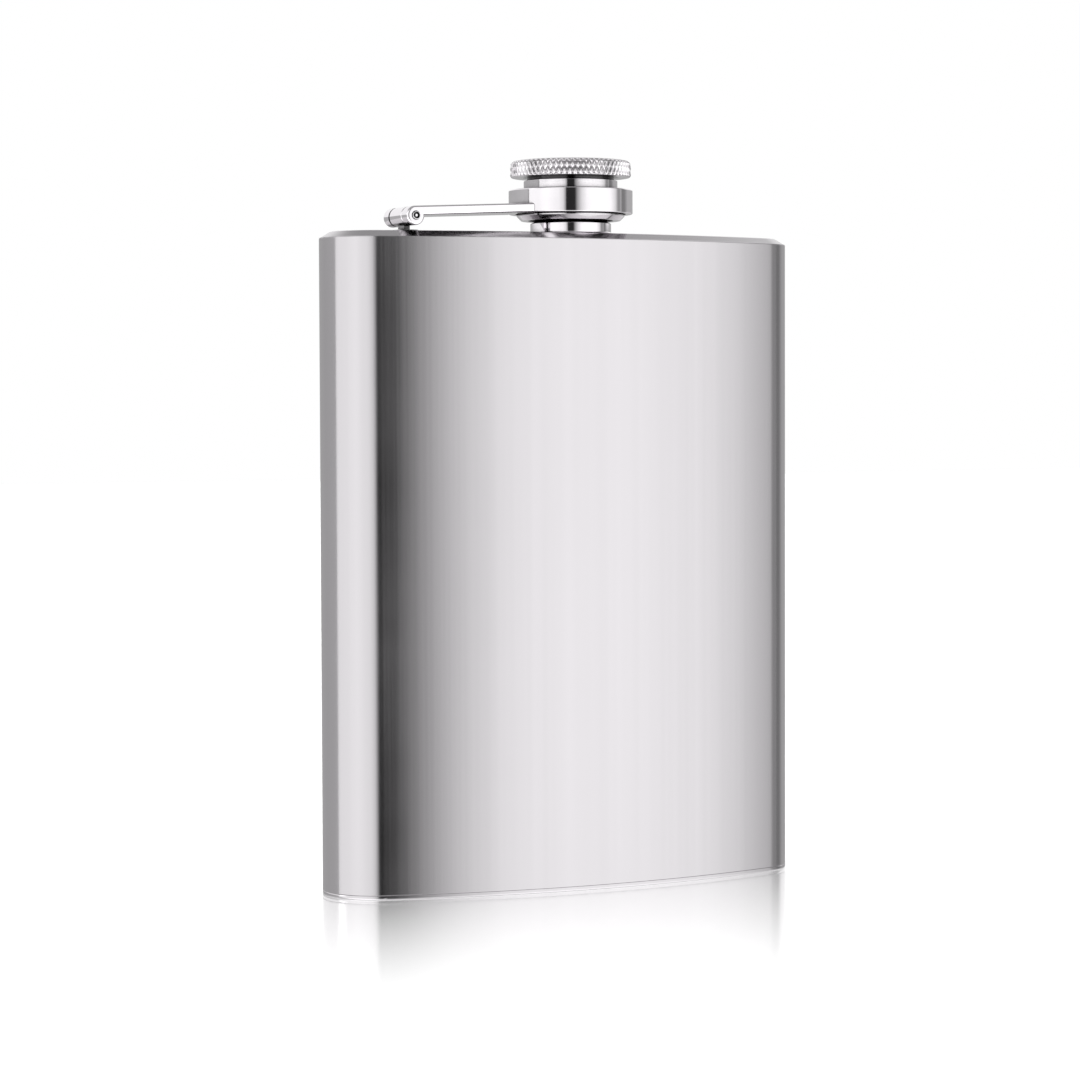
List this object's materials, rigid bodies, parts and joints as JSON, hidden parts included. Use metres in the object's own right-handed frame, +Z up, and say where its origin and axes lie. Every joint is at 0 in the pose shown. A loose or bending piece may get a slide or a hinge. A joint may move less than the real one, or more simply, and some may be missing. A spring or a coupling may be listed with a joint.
{
  "type": "hip flask",
  "caption": "Curved stainless hip flask whose screw cap stays on a hinged retainer arm; the cap unscrews and swings clear of the neck.",
  "frame": {"origin": "centre of the bounding box at the face the flask stands on", "axes": "+Z up through the neck, X across the width with the cap's hinge on the -X side, -Y out of the convex front"},
  "size_m": [0.095, 0.0267, 0.1347],
  "materials": {
    "brushed_steel": "fine vertical brushing, satin",
    "shoulder_steel": "satin, ground along the edge",
    "polished_steel": "mirror polished",
    "silicone": "matt translucent silicone"
  },
  "bodies": {
    "flask": {"body_wall": "brushed_steel", "bottom_plate": "brushed_steel", "top_plate": "shoulder_steel", "neck": "polished_steel", "hinge_bracket": "polished_steel"},
    "arm": {"retainer_arm": "polished_steel", "retainer_ring": "polished_steel", "hinge_pin": "polished_steel"},
    "liner": {"cap_liner": "silicone"},
    "cap": {"cap_sleeve": "polished_steel", "cap_head": "polished_steel"}
  },
  "joints": [
    {"name": "arm_swing", "type": "hinge", "parent": "flask", "child": "arm", "pos_m": [-0.0338, -0.00186, 0.1236], "axis": [0, -1, 0], "range_deg": [0, 180]},
    {"name": "cap_rise", "type": "slide", "parent": "arm", "child": "liner", "axis": [0, 0, 1], "range_m": [0, 0.003]},
    {"name": "cap_spin", "type": "hinge", "parent": "liner", "child": "cap", "pos_m": [0, -0.00186, 0.1345], "axis": [0, 0, 1], "range_deg": [0, 720]}
  ],
  "couplings": [
    {"joint": "cap_rise", "follows": "cap_spin", "m_per_rad": 0.00023873}
  ]
}
